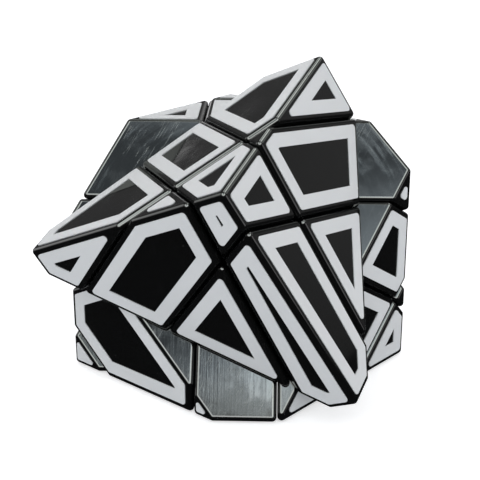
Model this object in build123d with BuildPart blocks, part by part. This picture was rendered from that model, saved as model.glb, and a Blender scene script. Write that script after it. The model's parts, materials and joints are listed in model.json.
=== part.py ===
"""A 3x3x3 shape-changing twisty puzzle: a cube cut by three layers of skewed planes.

The puzzle turns about three perpendicular axes through its centre, as any 3x3x3 does, but the cube's
faces are tilted against those axes, and each layer has its own grid of cuts. So the 26 outer pieces
all differ, and a turned layer breaks the cube's outline. This model holds the puzzle with its front
layer turned part-way: the middle slice and the back layer still stand upright as a cube.

Two frames are used. The row frame has +Z up, with its origin on the resting face under the core.
The mechanism frame has its origin at the core and +Z along the layer axis, through the front layer.
All pieces are built in the mechanism frame and moved into the row frame as they are written.
"""
import os
from math import atan, cos, degrees, radians, sin, sqrt

from build123d import *

# Driving dimensions, in millimetres and degrees
side = 59.0  # edge of the solved cube
slice_width = 19.0  # between the cuts on either side of a middle slice
half_slice = slice_width / 2
gap = 0.08  # each piece stands back this far from a cut
edge_round = 1.0  # radius along every outside edge of a piece
wall = 1.8  # thickness of the hollow pieces

# Skew of the mechanism in the cube
axis_tilt = 30.0  # the layer axis's lean off the plane of the cube's left face
axis_swing = 45.0  # its climb between that face and the top
upright_grid = degrees(atan(sin(radians(axis_tilt))))  # grid angle whose cuts stand vertical
front_grid = upright_grid + 33.0
back_grid = upright_grid - 28.5
front_turn = -88.0  # how far the front layer is turned from the solved cube

# Retaining feet, inside the sphere where the outer shells begin
shell_radius = 22.0
shell_floor = 2.0
foot_inner_radius = 13.0
half_foot_slice = 6.0
sphere_gap = 0.1
peg_radius = 2.2
peg_depth = 3.0
peg_gap = 0.02

# Core, screws and springs
hub_radius = 6.2
arm_radius = 4.2
arm_end = 8.0
stem_radius = 4.8
stem_start = 8.1
spring_seat = 12.4
pocket_radius = 3.3
cap_plane = 23.6
rim_height = 1.2
rim_wall = 1.2
screw_radius = 1.42
screw_tip = 3.0
screw_hole_radius = 1.5
thread_gap = 0.02
spring_length = 5.0
spring_radius = 2.3
spring_wire_radius = 0.32
spring_coils = 5
washer_thickness = 0.5
washer_radius = 3.0
head_radius = 2.8
head_height = 1.9
recess_width = 0.7
recess_length = 3.2
recess_depth = 1.1

# Stickers
sticker_thickness = 0.2
sticker_margin = 0.5  # left bare between a ring and the rounding of its piece's edge
sticker_corner = 0.8
ring_width = 3.2
slim_ring_width = 2.8  # on facets that a full ring would fill, which have a slit instead
plain_margin = 0.9  # round a sticker with no hole
small_facet = 4.0  # a facet whose flat is narrower than this has the two small sizes instead
small_margin = 0.25
small_corner = 0.5
smallest_facet = 2.2  # a facet whose flat is narrower than this has no sticker

reach = side  # further than any point of the cube is from the core
layer_heights = {"front": 1, "back": -1}
edge_cells = {"upper_right": (1, 0), "upper_left": (0, 1), "lower_left": (-1, 0), "lower_right": (0, -1)}
corner_cells = {"top": (1, 1), "left": (-1, 1), "bottom": (-1, -1), "right": (1, -1)}
slice_edge_cells = {"upper_left": (1, 1), "lower_left": (-1, 1), "lower_right": (-1, -1), "upper_right": (1, -1)}
slice_centre_cells = {"top": (1, 0), "left": (0, 1), "bottom": (-1, 0), "right": (0, -1)}

# Where the mechanism stands in the row frame
tilt, swing = radians(axis_tilt), radians(axis_swing)
layer_axis = (sin(tilt), -cos(tilt) * sin(swing), cos(tilt) * cos(swing))
across_axis = (0, cos(swing), sin(swing))
centre_height = side / 2 + sticker_thickness
mechanism = Plane(origin=(0, 0, centre_height), x_dir=across_axis, z_dir=layer_axis)
cube_pose = Plane(origin=(0, 0, 0), x_dir=across_axis, z_dir=layer_axis).location.inverse()
cube_faces = [
    Plane(cube_pose * Plane(origin=Vector(*normal) * side / 2, z_dir=normal).location)
    for normal in ((1, 0, 0), (-1, 0, 0), (0, 1, 0), (0, -1, 0), (0, 0, 1), (0, 0, -1))
]


def span(index, half, inset):
    """Lowest and highest place of a layer on its axis: -1, 0 and 1 are the three layers."""
    if index == 0:
        return -half + inset, half - inset
    if index == 1:
        return half + inset, reach
    return -reach, -half - inset


def cell_box(cell, half, inset, grid):
    """Centre, size and turn of the box that one cell of the grid fills."""
    spans = [span(index, half, inset) for index in cell]
    centre = Vector(*[(low + high) / 2 for low, high in spans]).rotate(Axis.Z, grid)
    size = [high - low for low, high in spans]
    return Location(centre, (0, 0, grid)), size


def sharp_block(cell, grid, inset):
    """The part of the cube in one cell, with every face moved inwards by inset."""
    place, size = cell_box(cell, half_slice, gap + inset, grid)
    with BuildPart() as block:
        with Locations(place):
            Box(*size)
        with Locations(cube_pose):
            Box(*[side - 2 * inset] * 3, mode=Mode.INTERSECT)
    return block.part


def rounded_block(cell, grid):
    """The part of the cube in one cell, with its edges and corners rounded."""
    with BuildPart() as block:
        add(sharp_block(cell, grid, edge_round))
        offset(amount=edge_round, kind=Kind.ARC)
    return block.part


def outward(cell, grid):
    """The line from the core through the middle of a cell, as a plane facing outwards."""
    return Plane(origin=(0, 0, 0), z_dir=Vector(*cell).rotate(Axis.Z, grid))


def shell(cell, grid):
    """The hollow outside of an edge or corner piece, with a socket for its foot's peg."""
    with BuildPart() as cavity:
        add(sharp_block(cell, grid, wall))
        Sphere(shell_radius + sphere_gap + shell_floor, mode=Mode.SUBTRACT)
    with BuildPart() as piece:
        add(rounded_block(cell, grid))
        Sphere(shell_radius + sphere_gap, mode=Mode.SUBTRACT)
        add(cavity.part.solids().sort_by(SortBy.VOLUME)[-1], mode=Mode.SUBTRACT)
        with BuildSketch(outward(cell, grid).offset(shell_radius - 1)):
            Circle(peg_radius + peg_gap)
        extrude(amount=1 + peg_depth + sphere_gap, mode=Mode.SUBTRACT)
    return piece.part


def foot(cell, grid):
    """The foot that holds an edge or corner piece in, under the shells of its neighbours."""
    place, size = cell_box(cell, half_foot_slice, gap, grid)
    with BuildPart() as piece:
        with Locations(place):
            Box(*size)
        Sphere(shell_radius - sphere_gap, mode=Mode.INTERSECT)
        Sphere(foot_inner_radius + sphere_gap, mode=Mode.SUBTRACT)
        with BuildSketch(outward(cell, grid).offset(shell_radius - 2)):
            Circle(peg_radius)
        extrude(amount=2 + peg_depth)
        chamfer(piece.edges().filter_by(GeomType.CIRCLE).sort_by_distance((0, 0, 0))[-1], length=0.4)
    return piece.part


def centre_plane(cell, grid):
    """A plane at the core, facing out through a centre piece and squared to its grid."""
    out = Vector(*cell).rotate(Axis.Z, grid)
    square_to = Vector(cell[2], 0, 1 - abs(cell[2])).rotate(Axis.Z, grid)
    return Plane(origin=(0, 0, 0), x_dir=square_to, z_dir=out)


def centre_body():
    """The inner half of a centre piece, with its screw pocket, facing +Z."""
    width = 2 * (half_slice - gap)
    column = 2 * (half_foot_slice - gap)
    with BuildPart() as body:
        Box(width, width, cap_plane, align=(Align.CENTER, Align.CENTER, Align.MIN))
        fillet(body.edges().filter_by(Axis.Z), radius=edge_round)
        Sphere(shell_radius + sphere_gap, mode=Mode.SUBTRACT)
        Box(column, column, cap_plane, align=(Align.CENTER, Align.CENTER, Align.MIN))
        Sphere(foot_inner_radius + sphere_gap, mode=Mode.SUBTRACT)
        with BuildSketch(Plane.XY.offset(stem_start)):
            Circle(stem_radius)
        extrude(amount=foot_inner_radius + 1 - stem_start)
        with BuildSketch(Plane.XY.offset(cap_plane)):
            Circle(width / 2 - wall - peg_gap)
            Circle(width / 2 - wall - peg_gap - rim_wall, mode=Mode.SUBTRACT)
        extrude(amount=rim_height)
        with BuildSketch(Plane.XY.offset(stem_start)):
            Circle(screw_hole_radius)
        extrude(amount=cap_plane, mode=Mode.SUBTRACT)
        with BuildSketch(Plane.XY.offset(spring_seat)):
            Circle(pocket_radius)
        extrude(amount=cap_plane, mode=Mode.SUBTRACT)
    return body.part


def centre_cap(cell, grid):
    """The hollow outside of a centre piece, which snaps over the body's rim."""
    out = centre_plane(cell, grid)
    with BuildPart() as cap:
        add(rounded_block(cell, grid))
        add(sharp_block(cell, grid, wall), mode=Mode.SUBTRACT)
        split(bisect_by=out.offset(cap_plane), keep=Keep.TOP)
    return cap.part


def screw():
    """A pan-head screw with a cross recess, facing +Z, standing in its working place."""
    head_base = spring_seat + spring_length + washer_thickness
    with BuildPart() as fastener:
        with BuildSketch(Plane.XY.offset(screw_tip)):
            Circle(screw_radius)
        extrude(amount=head_base - screw_tip)
        chamfer(fastener.faces().sort_by(Axis.Z)[0].edges(), length=0.5)
        with BuildSketch(Plane.XY.offset(head_base)):
            Circle(head_radius)
        extrude(amount=head_height)
        fillet(fastener.faces().sort_by(Axis.Z)[-1].edges(), radius=0.8)
        with BuildSketch(Plane.XY.offset(head_base + head_height)):
            Rectangle(recess_length, recess_width)
            Rectangle(recess_width, recess_length)
        extrude(amount=-recess_depth, mode=Mode.SUBTRACT)
    return fastener.part


def spring():
    """A compression spring round the screw, between the body's seat and the washer."""
    start = spring_seat + spring_wire_radius
    height = spring_length - 2 * spring_wire_radius - 0.04
    with BuildPart() as coil:
        with BuildLine():
            path = Helix(height / spring_coils, height, spring_radius, center=(0, 0, start + 0.02))
        with BuildSketch(Plane(origin=path @ 0, z_dir=path % 0)):
            Circle(spring_wire_radius)
        sweep(is_frenet=True)
    return coil.part


def washer():
    """The washer between the spring and the screw's head."""
    with BuildPart() as ring:
        with BuildSketch(Plane.XY.offset(spring_seat + spring_length)):
            Circle(washer_radius)
            Circle(screw_hole_radius, mode=Mode.SUBTRACT)
        extrude(amount=washer_thickness)
    return ring.part


def write(piece, name, turn=0.0):
    """Moves a finished piece from the mechanism frame into the row frame and writes it."""
    placed = piece.moved(mechanism.location * Location((0, 0, 0), (0, 0, turn)))
    placed.label = name
    export_step(placed, f"parts/{name}.step")


def clip(points, across, up, limit):
    """The part of a convex outline where across * x + up * y is at most limit."""
    kept = []
    for here, there in zip(points, points[1:] + points[:1]):
        room_here = limit - across * here[0] - up * here[1]
        room_there = limit - across * there[0] - up * there[1]
        if room_here >= 0:
            kept.append(here)
        if room_here * room_there < 0:
            share = room_here / (room_here - room_there)
            kept.append(tuple(h + share * (t - h) for h, t in zip(here, there)))
    return kept


def facet_outline(cell, grid, face, inset):
    """Corners of the flat of a piece's facet on one face of the cube, drawn in by inset.

    The sharper the edge where a cut meets the face, the further in its rounding reaches.
    """
    half = side / 2 - edge_round - inset
    points = [(-half, -half), (half, -half), (half, half), (-half, half)]
    axes = [Vector(*axis).rotate(Axis.Z, grid) for axis in ((1, 0, 0), (0, 1, 0), (0, 0, 1))]
    for axis, index in zip(axes, cell):
        low, high = span(index, half_slice, gap)
        for sign, place in ((1, high), (-1, -low)):
            across, up, out = [sign * axis.dot(d) for d in (face.x_dir, face.y_dir, face.z_dir)]
            slope = sqrt(across**2 + up**2)
            rounding = edge_round * slope / (1 + out)
            limit = place - sign * axis.dot(face.origin) - (rounding + inset) * slope
            points = clip(points, across, up, limit)
    return points


def leaves_room(cell, grid, face, inset):
    """Whether any of a facet's flat is left when it is drawn in by inset."""
    return len(facet_outline(cell, grid, face, inset)) > 2


def sticker_sizes(cell, grid, face):
    """Margin, corner radius and ring width of a facet's sticker: the ring width is 0 for a plain one."""
    for width in (ring_width, slim_ring_width):
        if leaves_room(cell, grid, face, sticker_margin + width):
            return sticker_margin, sticker_corner, width
    if leaves_room(cell, grid, face, small_facet / 2):
        return plain_margin, sticker_corner, 0
    return small_margin, small_corner, 0


def stickers(cells, grid):
    """The stickers on the cube faces of a layer's pieces: rings, or plain where a facet is small."""
    with BuildPart() as sheet:
        for cell in cells:
            for face in cube_faces:
                if not leaves_room(cell, grid, face, smallest_facet / 2):
                    continue
                margin, corner, ring = sticker_sizes(cell, grid, face)
                with BuildSketch(face):
                    Polygon(*facet_outline(cell, grid, face, margin + corner), align=None)
                    offset(amount=corner, kind=Kind.ARC)
                    if ring:
                        hole = facet_outline(cell, grid, face, margin + ring)
                        Polygon(*hole, align=None, mode=Mode.SUBTRACT)
                extrude(amount=sticker_thickness)
    return sheet.part


def core_spider(cells, grid):
    """The ball at the middle of the puzzle, with an arm for each centre piece's screw."""
    with BuildPart() as spider:
        Sphere(hub_radius)
        for cell in cells:
            out = centre_plane(cell, grid)
            with BuildSketch(out):
                Circle(arm_radius)
            extrude(amount=arm_end)
        for cell in cells:
            with BuildSketch(centre_plane(cell, grid).offset(arm_end)):
                Circle(screw_radius + thread_gap)
            extrude(amount=screw_tip - arm_end - screw_radius, mode=Mode.SUBTRACT)
    return spider.part


def one_at_each(piece, cells, grid):
    """Copies of a piece that faces +Z, one facing out along each cell's axis."""
    with BuildPart() as group:
        for cell in cells:
            add(piece.moved(centre_plane(cell, grid).location))
    return group.part


def feet(cells, grid):
    """The feet of a set of edge or corner pieces."""
    with BuildPart() as group:
        for cell in cells:
            add(foot(cell, grid))
    return group.part


os.makedirs("parts", exist_ok=True)

# The core and its fasteners stay with the middle slice
slice_centres = {name: (*cell, 0) for name, cell in slice_centre_cells.items()}
arm_cells = [*slice_centres.values(), (0, 0, 1), (0, 0, -1)]
write(core_spider(arm_cells, upright_grid), "core_spider")
write(one_at_each(screw(), arm_cells, upright_grid), "centre_screws")
write(one_at_each(spring(), arm_cells, upright_grid), "centre_springs")
write(one_at_each(washer(), arm_cells, upright_grid), "centre_washers")

# Middle slice: four centre pieces and four edge pieces
slice_edges = {name: (*cell, 0) for name, cell in slice_edge_cells.items()}
write(one_at_each(centre_body(), slice_centres.values(), upright_grid), "middle_centre_bodies")
for place, cell in slice_centres.items():
    write(centre_cap(cell, upright_grid), f"middle_cap_{place}")
for place, cell in slice_edges.items():
    write(shell(cell, upright_grid), f"middle_edge_{place}")
write(feet(slice_edges.values(), upright_grid), "middle_edge_feet")
write(stickers(slice_centres.values(), upright_grid), "middle_centre_stickers")
write(stickers(slice_edges.values(), upright_grid), "middle_edge_stickers")

# Front and back layers: a centre piece, four edge pieces and four corner pieces each
for layer, grid, turn in (("front", front_grid, front_turn), ("back", back_grid, 0.0)):
    height = layer_heights[layer]
    centre = (0, 0, height)
    edges = {name: (*cell, height) for name, cell in edge_cells.items()}
    corners = {name: (*cell, height) for name, cell in corner_cells.items()}
    write(one_at_each(centre_body(), [centre], grid), f"{layer}_centre_body", turn)
    write(centre_cap(centre, grid), f"{layer}_centre_cap", turn)
    for place, cell in edges.items():
        write(shell(cell, grid), f"{layer}_edge_{place}", turn)
    for place, cell in corners.items():
        write(shell(cell, grid), f"{layer}_corner_{place}", turn)
    write(feet(edges.values(), grid), f"{layer}_edge_feet", turn)
    write(feet(corners.values(), grid), f"{layer}_corner_feet", turn)
    write(stickers([centre], grid), f"{layer}_centre_stickers", turn)
    write(stickers(edges.values(), grid), f"{layer}_edge_stickers", turn)
    write(stickers(corners.values(), grid), f"{layer}_corner_stickers", turn)
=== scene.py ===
"""Looks of a shape-changing twisty puzzle cube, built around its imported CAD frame.

The CAD nodes carry the shapes. This script gives every node a procedural material with the marks of
moulding and handling, and sets up a plain studio: a pale floor, even soft light, and the light and
dark areas round the object that its glossy black pieces reflect.
"""

import json
from math import cos, pi, radians, sin

import bpy
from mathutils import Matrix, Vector

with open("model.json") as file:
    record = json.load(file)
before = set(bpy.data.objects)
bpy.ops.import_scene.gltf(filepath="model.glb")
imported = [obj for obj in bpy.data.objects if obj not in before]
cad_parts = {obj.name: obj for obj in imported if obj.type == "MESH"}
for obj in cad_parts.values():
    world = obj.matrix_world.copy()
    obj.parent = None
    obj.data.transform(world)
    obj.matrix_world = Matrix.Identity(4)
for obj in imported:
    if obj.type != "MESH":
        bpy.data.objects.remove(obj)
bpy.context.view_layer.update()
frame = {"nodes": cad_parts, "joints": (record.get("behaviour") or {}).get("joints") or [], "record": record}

# Sizes, in metres
mm = 0.001
layer_reach = 25 * mm  # about half a layer's width
core = Vector(frame["joints"][0]["pos_m"])
layer_axis = Vector(frame["joints"][0]["axis"])
across_axis = Vector((0.0, 0.0, 1.0)).cross(layer_axis).normalized()  # level, along a layer's face
up_axis = layer_axis.cross(across_axis)  # straight up a layer's face

# Camera, in degrees and metres, aimed near the core
camera_azimuth = 41.31
camera_elevation = 20.02
camera_distance = 0.2769
camera_lens = 84.56
camera_sensor = 36.0
camera_aim = core + Vector((-0.5, 0.5, 2.0)) * mm

floor_size = 6.0  # metres

# Brightness of the surroundings as the camera and the matt surfaces see them
backdrop_glow = 1.05
floor_glow = 0.56
dome_level = 0.98
dome_top = 0.79
dome_top_tint = (1.02, 0.985, 0.98, 1)

# What the glossy pieces see in their place, in degrees of azimuth and elevation. Above them is a wide
# overhead light, with a long dim patch in it, and below them the floor is nearly dark.
floor_reflected = 0.025
overhead_middle = (35.5, 57)
overhead_strength = 11.0
overhead_tint = (0.94, 1.0, 0.95, 1)
patch_ends = ((26, 57), (45, 58))
patch_tint = (0.86, 1.0, 1.08, 1)

# Round soft lights that the glossy pieces see: azimuth, elevation, full within, gone by, strength
soft_lights = [
    (32, 69, 2.5, 6, 6.0),  # for the upper rims of the upright sliding faces
    (-176, 60, 7, 13, 8.0),  # for the front layer's top ridges, along the middle
    (-133, 51, 4, 9, 5.0),  # along their left side
    (151, 36, 8, 16, 1.6),  # along their right side
    (-158, 20, 8, 22, 0.5),  # for the upper edges of its right facets
    (-66, 20, 8, 30, 2.2),  # for the ridges between its upper left and lower facets
    (112, 2, 8, 24, 1.6),  # for the ridges between its right and lower facets
    (155, 7, 5, 18, 0.12),  # for its right facets
    (52, 49, 3, 11, 6.0),  # for the sliding faces on the right
]


def direction(azimuth, elevation):
    """Unit vector towards an azimuth, counted from -Y towards +X, and an elevation."""
    a, e = radians(azimuth), radians(elevation)
    return Vector((sin(a) * cos(e), -cos(a) * cos(e), sin(e)))


class Graph:
    """A node tree, built by adding nodes: an input given as a socket is linked, and a value is set."""

    def __init__(self, tree):
        self.tree = tree
        tree.nodes.clear()

    def add(self, kind, inputs=None, out=0, **settings):
        node = self.tree.nodes.new(kind)
        for name, value in settings.items():
            setattr(node, name, value)
        for name, value in (inputs or {}).items():
            socket = node.inputs[name]
            if isinstance(value, bpy.types.NodeSocket):
                self.tree.links.new(value, socket)
            else:
                socket.default_value = value
        return node.outputs[out] if node.outputs else None

    def math(self, operation, *values, clamp=False):
        return self.add("ShaderNodeMath", dict(enumerate(values)), operation=operation, use_clamp=clamp)

    def vector(self, operation, *values, out=0):
        return self.add("ShaderNodeVectorMath", dict(enumerate(values)), out=out, operation=operation)

    def ramp(self, value, low, high, to_low=0.0, to_high=1.0, smooth=True):
        """value's range low to high spread over to_low to to_high, and held outside it."""
        inputs = {"Value": value, "From Min": low, "From Max": high, "To Min": to_low, "To Max": to_high}
        return self.add(
            "ShaderNodeMapRange", inputs, interpolation_type="SMOOTHSTEP" if smooth else "LINEAR"
        )

    def mix(self, factor, a, b):
        """Colour a where factor is 0 and colour b where it is 1."""
        inputs = {0: factor, 6: a, 7: b}
        return self.add("ShaderNodeMix", inputs, out=2, data_type="RGBA")

    def noise(self, vector, scale, detail=2.0, roughness=0.5, distortion=0.0):
        inputs = {
            "Vector": vector, "Scale": scale, "Detail": detail, "Roughness": roughness,
            "Distortion": distortion,
        }
        return self.add("ShaderNodeTexNoise", inputs)

    def bump(self, height, distance, strength=1.0, normal=None):
        inputs = {"Height": height, "Distance": distance, "Strength": strength}
        if normal is not None:
            inputs["Normal"] = normal
        return self.add("ShaderNodeBump", inputs)


def grey(value, blue=0.0):
    return (value * (1 - blue), value, value * (1 + blue), 1.0)


def material(name, build):
    """A node material whose surface is what build(graph, position) returns."""
    made = bpy.data.materials.new(name)
    made.use_nodes = True
    graph = Graph(made.node_tree)
    position = graph.add("ShaderNodeTexCoord", out=3)
    surface = build(graph, position)
    graph.add("ShaderNodeOutputMaterial", {"Surface": surface})
    return made


def dust(graph, position, spacing, size, share):
    """Scattered specks, as a mask."""
    inputs = {"Vector": position, "Scale": 1 / spacing}
    node_distance = graph.add("ShaderNodeTexVoronoi", inputs, out=0)
    node_colour = graph.add("ShaderNodeTexVoronoi", inputs, out=1)
    chance = graph.add("ShaderNodeSeparateColor", {"Color": node_colour}, out=0)
    near = graph.ramp(node_distance, size, size * 0.5)
    return graph.math("MULTIPLY", near, graph.math("LESS_THAN", chance, share))


def hairlines(graph, position, turn, width, length, density):
    """Thin straight scratches that run one way, in patches, as a mask."""
    inputs = {"Vector": position, "Rotation": turn, "Scale": (1 / width, 1 / length, 1 / length)}
    stretched = graph.add("ShaderNodeMapping", inputs)
    lines = graph.ramp(graph.noise(stretched, 1.0, detail=1.0), density, density + 0.05)
    patches = graph.ramp(graph.noise(position, 70.0), 0.45, 0.65)
    return graph.math("MULTIPLY", lines, patches)


def place_on_layer(graph, position):
    """A point's places across, up and out from a layer's face, measured from the core."""
    offset = graph.vector("SUBTRACT", position, tuple(core))
    return [
        graph.vector("DOT_PRODUCT", offset, tuple(axis), out=1)
        for axis in (across_axis, up_axis, layer_axis)
    ]


def turning_arcs(graph, on_layer, width, length):
    """Streaks that run round the layer axis, as left by the layers sliding on each other."""
    across, up, out = on_layer
    flat = graph.add("ShaderNodeCombineXYZ", {0: across, 1: up})
    reach = layer_reach / length
    around = graph.vector("MULTIPLY", graph.vector("NORMALIZE", flat), (reach, reach, reach))
    radius = graph.math("ADD", graph.vector("LENGTH", flat, out=1), out)
    place = graph.add("ShaderNodeCombineXYZ", {2: graph.math("DIVIDE", radius, width)})
    return graph.noise(graph.vector("ADD", around, place), 1.0, detail=3.0, roughness=0.65)


def polishing(graph, on_layer, width, length):
    """Fine streaks that run straight up a layer's face, as left by polishing."""
    across, up, out = on_layer
    place = {
        0: graph.math("DIVIDE", across, width),
        1: graph.math("DIVIDE", up, length),
        2: graph.math("DIVIDE", out, length),
    }
    return graph.noise(graph.add("ShaderNodeCombineXYZ", place), 1.0, detail=3.0, roughness=0.65)


def sliding_face(graph):
    """1 on the faces that slide on the next layer, 0 on the others."""
    normal = graph.add("ShaderNodeTexCoord", out=1)
    facing = graph.math("ABSOLUTE", graph.vector("DOT_PRODUCT", normal, tuple(layer_axis), out=1))
    return graph.ramp(facing, 0.985, 0.999)


def gloss_black(graph, position):
    """Polished black plastic: moulding ripples, smudges, rub marks, hairline scratches and dust.

    The sliding faces have polishing streaks low down, and rub marks from turning above them.
    """
    face = sliding_face(graph)
    on_layer = place_on_layer(graph, position)
    low = graph.ramp(on_layer[1], -12 * mm, 4 * mm, 1.0, 0.0)
    high = graph.math("SUBTRACT", 1.0, low)
    smudges = graph.noise(position, 130.0, detail=6.0, roughness=0.65)
    arcs = turning_arcs(graph, on_layer, 1.3 * mm, 22 * mm)
    polish = polishing(graph, on_layer, 0.3 * mm, 14 * mm)
    rubs = graph.math("MULTIPLY", graph.ramp(arcs, 0.42, 0.72, 0.0, 0.8), high)
    strokes = graph.math("MULTIPLY", graph.ramp(polish, 0.42, 0.70, 0.0, 0.6), low)
    streaks = graph.math("ADD", rubs, strokes)
    patches = graph.ramp(graph.noise(position, 120.0, detail=4.0), 0.36, 0.62)
    haze = graph.math("MULTIPLY", graph.math("MULTIPLY", streaks, patches), face)
    mottle = graph.math("MULTIPLY", graph.ramp(smudges, 0.42, 0.62), face)
    lines = graph.math(
        "MAXIMUM",
        hairlines(graph, position, (0.3, 0.5, 0.6), 0.09 * mm, 9 * mm, 0.70),
        hairlines(graph, position, (1.1, -0.4, 2.1), 0.08 * mm, 6 * mm, 0.71),
    )
    specks = dust(graph, position, 1.6 * mm, 0.06, 0.10)
    colour = graph.mix(graph.math("MULTIPLY", lines, 0.4), grey(0.0035, 0.06), grey(0.04))
    colour = graph.mix(graph.math("MULTIPLY", haze, 0.4), colour, (0.020, 0.027, 0.031, 1))
    colour = graph.mix(graph.math("MULTIPLY", specks, 0.6), colour, grey(0.25))
    roughness = graph.ramp(smudges, 0.4, 0.7, 0.045, 0.09)
    worn = graph.math("ADD", graph.math("MULTIPLY", lines, 0.2), graph.math("MULTIPLY", haze, 0.16))
    worn = graph.math("ADD", worn, graph.math("MULTIPLY", mottle, 0.05))
    roughness = graph.math("ADD", roughness, worn)
    surface = graph.bump(graph.noise(position, 110.0, detail=1.5), 0.03 * mm)
    surface = graph.bump(graph.math("MULTIPLY", arcs, face), 0.0018 * mm, normal=surface)
    surface = graph.bump(graph.math("MULTIPLY", strokes, face), 0.0035 * mm, normal=surface)
    surface = graph.bump(graph.noise(position, 1800.0, detail=2.0), 0.0010 * mm, normal=surface)
    surface = graph.bump(lines, -0.004 * mm, normal=surface)
    return graph.add(
        "ShaderNodeBsdfPrincipled",
        {"Base Color": colour, "Roughness": roughness, "IOR": 1.5, "Normal": surface},
    )


def vinyl(graph, position):
    """Pale grey-white sticker vinyl with softened edges, a fine grain and slight soiling."""
    cloud = graph.noise(position, 60.0, detail=4.0, roughness=0.6)
    colour = graph.mix(graph.ramp(cloud, 0.35, 0.7), (0.755, 0.785, 0.805, 1), (0.735, 0.765, 0.785, 1))
    specks = dust(graph, position, 2.6 * mm, 0.05, 0.10)
    colour = graph.mix(graph.math("MULTIPLY", specks, 0.35), colour, grey(0.2))
    soft_edges = graph.add("ShaderNodeBevel", {"Radius": 0.08 * mm}, samples=4)
    surface = graph.bump(graph.noise(position, 5200.0), 0.004 * mm, normal=soft_edges)
    surface = graph.bump(graph.noise(position, 300.0), 0.01 * mm, normal=surface)
    return graph.add(
        "ShaderNodeBsdfPrincipled",
        {"Base Color": colour, "Roughness": 0.5, "Specular IOR Level": 0.25, "Normal": surface},
    )


def satin_plastic(low, high):
    """Moulded plastic between two greys, with the fine grain of a tool surface."""

    def build(graph, position):
        colour = graph.mix(graph.noise(position, 140.0, detail=4.0), grey(low), grey(high))
        roughness = graph.ramp(graph.noise(position, 260.0, detail=3.0), 0.3, 0.7, 0.32, 0.5)
        surface = graph.bump(graph.noise(position, 3800.0, detail=3.0), 0.006 * mm)
        return graph.add(
            "ShaderNodeBsdfPrincipled",
            {"Base Color": colour, "Roughness": roughness, "Normal": surface},
        )

    return build


def plated_steel(tint, streak):
    """Zinc-plated steel with drawn or turned marks along streak."""

    def build(graph, position):
        stretched = graph.add("ShaderNodeMapping", {"Vector": position, "Scale": streak})
        marks = graph.noise(stretched, 1.0, detail=4.0, roughness=0.7)
        blotches = graph.noise(position, 700.0, detail=3.0)
        colour = graph.mix(blotches, grey(tint, 0.02), grey(tint * 0.8, -0.02))
        roughness = graph.ramp(marks, 0.3, 0.7, 0.2, 0.4)
        surface = graph.bump(marks, 0.01 * mm)
        return graph.add(
            "ShaderNodeBsdfPrincipled",
            {"Base Color": colour, "Metallic": 1.0, "Roughness": roughness, "Normal": surface},
        )

    return build


def dress():
    """Gives every CAD node the material of its slot."""
    looks = {
        "shell_plastic": gloss_black,
        "sticker": vinyl,
        "body_plastic": satin_plastic(0.010, 0.016),
        "foot_plastic": satin_plastic(0.012, 0.020),
        "core_plastic": satin_plastic(0.52, 0.60),
        "screw_steel": plated_steel(0.56, (900, 900, 900)),
        "washer_steel": plated_steel(0.62, (2500, 2500, 300)),
        "spring_steel": plated_steel(0.48, (1500, 1500, 1500)),
    }
    made = {slot: material(slot + "_look", build) for slot, build in looks.items()}
    for part in frame["record"]["subparts"]:
        node = frame["nodes"][part["node"]]
        for place in node.material_slots:
            place.material = made[part["material_slot"]]


def floor():
    """A pale floor. Glossy pieces see it as a dim surface, as they would in a shaded studio."""
    bpy.ops.mesh.primitive_grid_add(x_subdivisions=8, y_subdivisions=8, size=floor_size)
    sheet = bpy.context.object
    sheet.name = "floor"

    def build(graph, position):
        camera_ray = graph.add("ShaderNodeLightPath", out=0)
        glossy_ray = graph.add("ShaderNodeLightPath", out=3)
        paper = graph.noise(position, 900.0, detail=2.0)
        colour = graph.mix(paper, grey(0.84, 0.03), grey(0.86, 0.03))
        lit = graph.add("ShaderNodeBsdfDiffuse", {"Color": colour})
        glow = graph.add("ShaderNodeEmission", {"Color": grey(1.0), "Strength": floor_glow})
        seen = graph.add("ShaderNodeAddShader", {0: lit, 1: glow})
        dim = graph.add("ShaderNodeEmission", {"Color": grey(1.0), "Strength": floor_reflected})
        surface = graph.add("ShaderNodeMixShader", {0: camera_ray, 1: lit, 2: seen})
        return graph.add("ShaderNodeMixShader", {0: glossy_ray, 1: surface, 2: dim})

    sheet.data.materials.append(material("floor_paper", build))


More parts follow.
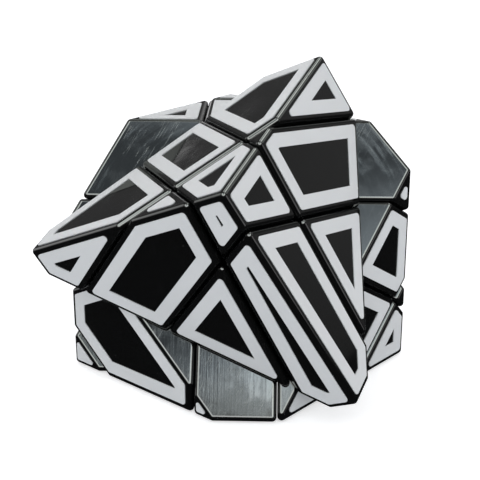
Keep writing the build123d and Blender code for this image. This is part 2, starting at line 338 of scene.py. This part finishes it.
def studio():
    """Even soft light from all round, and what the glossy pieces see in its place."""
    world = bpy.data.worlds.new("studio")
    bpy.context.scene.world = world
    world.use_nodes = True
    graph = Graph(world.node_tree)
    toward = graph.add("ShaderNodeTexCoord", out=0)
    toward = graph.vector("NORMALIZE", toward)

    def angle_from(azimuth, elevation):
        """Angle in degrees between the direction looked in and a given one."""
        aligned = graph.vector("DOT_PRODUCT", toward, tuple(direction(azimuth, elevation)), out=1)
        aligned = graph.math("MINIMUM", graph.math("MAXIMUM", aligned, -1.0), 1.0)
        return graph.math("MULTIPLY", graph.math("ARCCOSINE", aligned), 180 / pi)

    def card(azimuth, elevation, inner, outer, strength, around=0.0):
        """A round soft light: full strength within inner degrees, fading to around by outer."""
        return graph.ramp(angle_from(azimuth, elevation), inner, outer, strength, around)

    height = graph.add("ShaderNodeSeparateXYZ", {0: toward}, out=2)

    def by_elevation(low, high, to_low, to_high):
        """Goes from to_low to to_high between two elevations, and holds outside them."""
        return graph.ramp(height, sin(radians(low)), sin(radians(high)), to_low, to_high)

    from_patch = graph.math("MINIMUM", *(angle_from(*end) for end in patch_ends))
    patch = graph.ramp(from_patch, 7.5, 13.0, 0.06, 1.0)
    below_patch = card(35.5, 47.5, 4, 10, 0.20, 1.0)
    above_patch = by_elevation(60.0, 61.6, 0.0, 0.3)
    shade = graph.math("MAXIMUM", graph.math("MINIMUM", patch, below_patch), above_patch)
    overhead = card(*overhead_middle, 28, 48, overhead_strength)
    overhead = graph.math("MULTIPLY", overhead, by_elevation(64.8, 72.7, 1.0, 0.12))
    overhead = graph.math("MULTIPLY", overhead, shade)
    cloud = card(37.6, 48.0, 0.6, 2.4, 9.0)
    cloud = graph.math("MULTIPLY", cloud, by_elevation(47.0, 47.4, 0.0, 1.0))  # with a level foot
    wedge = card(-124, 9, 6.8, 8.2, 1.1)
    wedge = graph.math("MULTIPLY", wedge, by_elevation(13.1, 13.5, 1.0, 0.0))  # with a level top
    lights = [overhead, cloud, wedge] + [card(*light) for light in soft_lights]
    reflected = by_elevation(-2.9, 8.6, 0.02, 0.12)
    for light in lights:
        reflected = graph.math("ADD", reflected, light)
    reflected_tint = graph.mix(graph.ramp(from_patch, 9.0, 13.0), patch_tint, overhead_tint)
    reflected_tint = graph.mix(by_elevation(17.5, 30.0, 0.0, 1.0), grey(1.0), reflected_tint)

    dome = by_elevation(0.0, 64.2, dome_level, dome_top)
    dome_tint = graph.mix(by_elevation(0.0, 90.0, 0.0, 1.0), grey(1.0), dome_top_tint)
    camera_ray = graph.add("ShaderNodeLightPath", out=0)
    glossy_ray = graph.add("ShaderNodeLightPath", out=3)
    strength = graph.add("ShaderNodeMix", {0: glossy_ray, 2: dome, 3: reflected}, data_type="FLOAT")
    strength = graph.add(
        "ShaderNodeMix", {0: camera_ray, 2: strength, 3: backdrop_glow}, data_type="FLOAT"
    )
    tint = graph.mix(glossy_ray, dome_tint, reflected_tint)
    background = graph.add("ShaderNodeBackground", {"Color": tint, "Strength": strength})
    graph.add("ShaderNodeOutputWorld", {"Surface": background})
    bpy.context.scene.view_settings.view_transform = "Standard"


def camera():
    """A camera at the reference view."""
    lens = bpy.data.cameras.new("camera")
    lens.lens = camera_lens
    lens.sensor_width = camera_sensor
    lens.clip_start = 0.01
    holder = bpy.data.objects.new("camera", lens)
    bpy.context.scene.collection.objects.link(holder)
    out = direction(camera_azimuth, camera_elevation)
    holder.location = camera_aim + out * camera_distance
    holder.rotation_euler = (-out).to_track_quat("-Z", "Y").to_euler()
    bpy.context.scene.camera = holder


dress()
floor()
studio()
camera()
